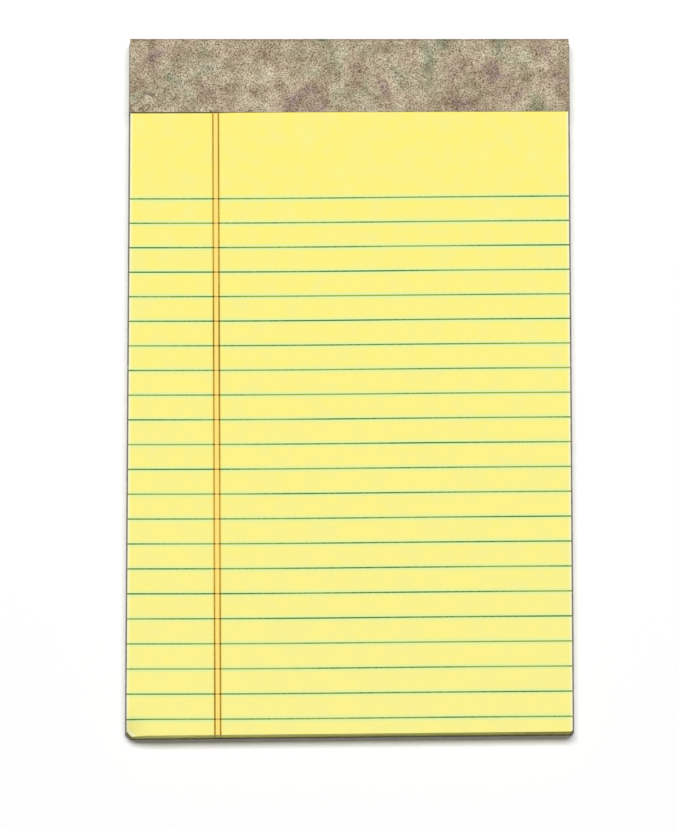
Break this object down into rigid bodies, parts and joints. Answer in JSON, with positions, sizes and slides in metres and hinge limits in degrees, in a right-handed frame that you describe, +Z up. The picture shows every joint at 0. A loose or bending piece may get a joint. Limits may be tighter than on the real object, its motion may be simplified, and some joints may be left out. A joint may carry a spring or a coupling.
{
  "type": "legal pad",
  "caption": "Junior-size ruled yellow writing pad with a chipboard back, bound at the head by a folded paper tape over stapled sheets.",
  "frame": {"origin": "on the surface that the pad lies on, under the middle of its footprint", "axes": "+Z up out of the writing face, +Y towards the bound head, +X to the right of someone reading the pad"},
  "size_m": [0.127, 0.2042, 0.0065],
  "materials": {
    "yellow_paper": "uncoated yellow writing paper",
    "grey_chipboard": "plain grey chipboard",
    "printed_tape": "paper tape with a mottled stone print",
    "staple_wire": "galvanised wire"
  },
  "bodies": {
    "root": {"sheet_block": "yellow_paper", "backing_board": "grey_chipboard", "binding_tape": "printed_tape", "staple_left": "staple_wire", "staple_right": "staple_wire"}
  },
  "joints": []
}
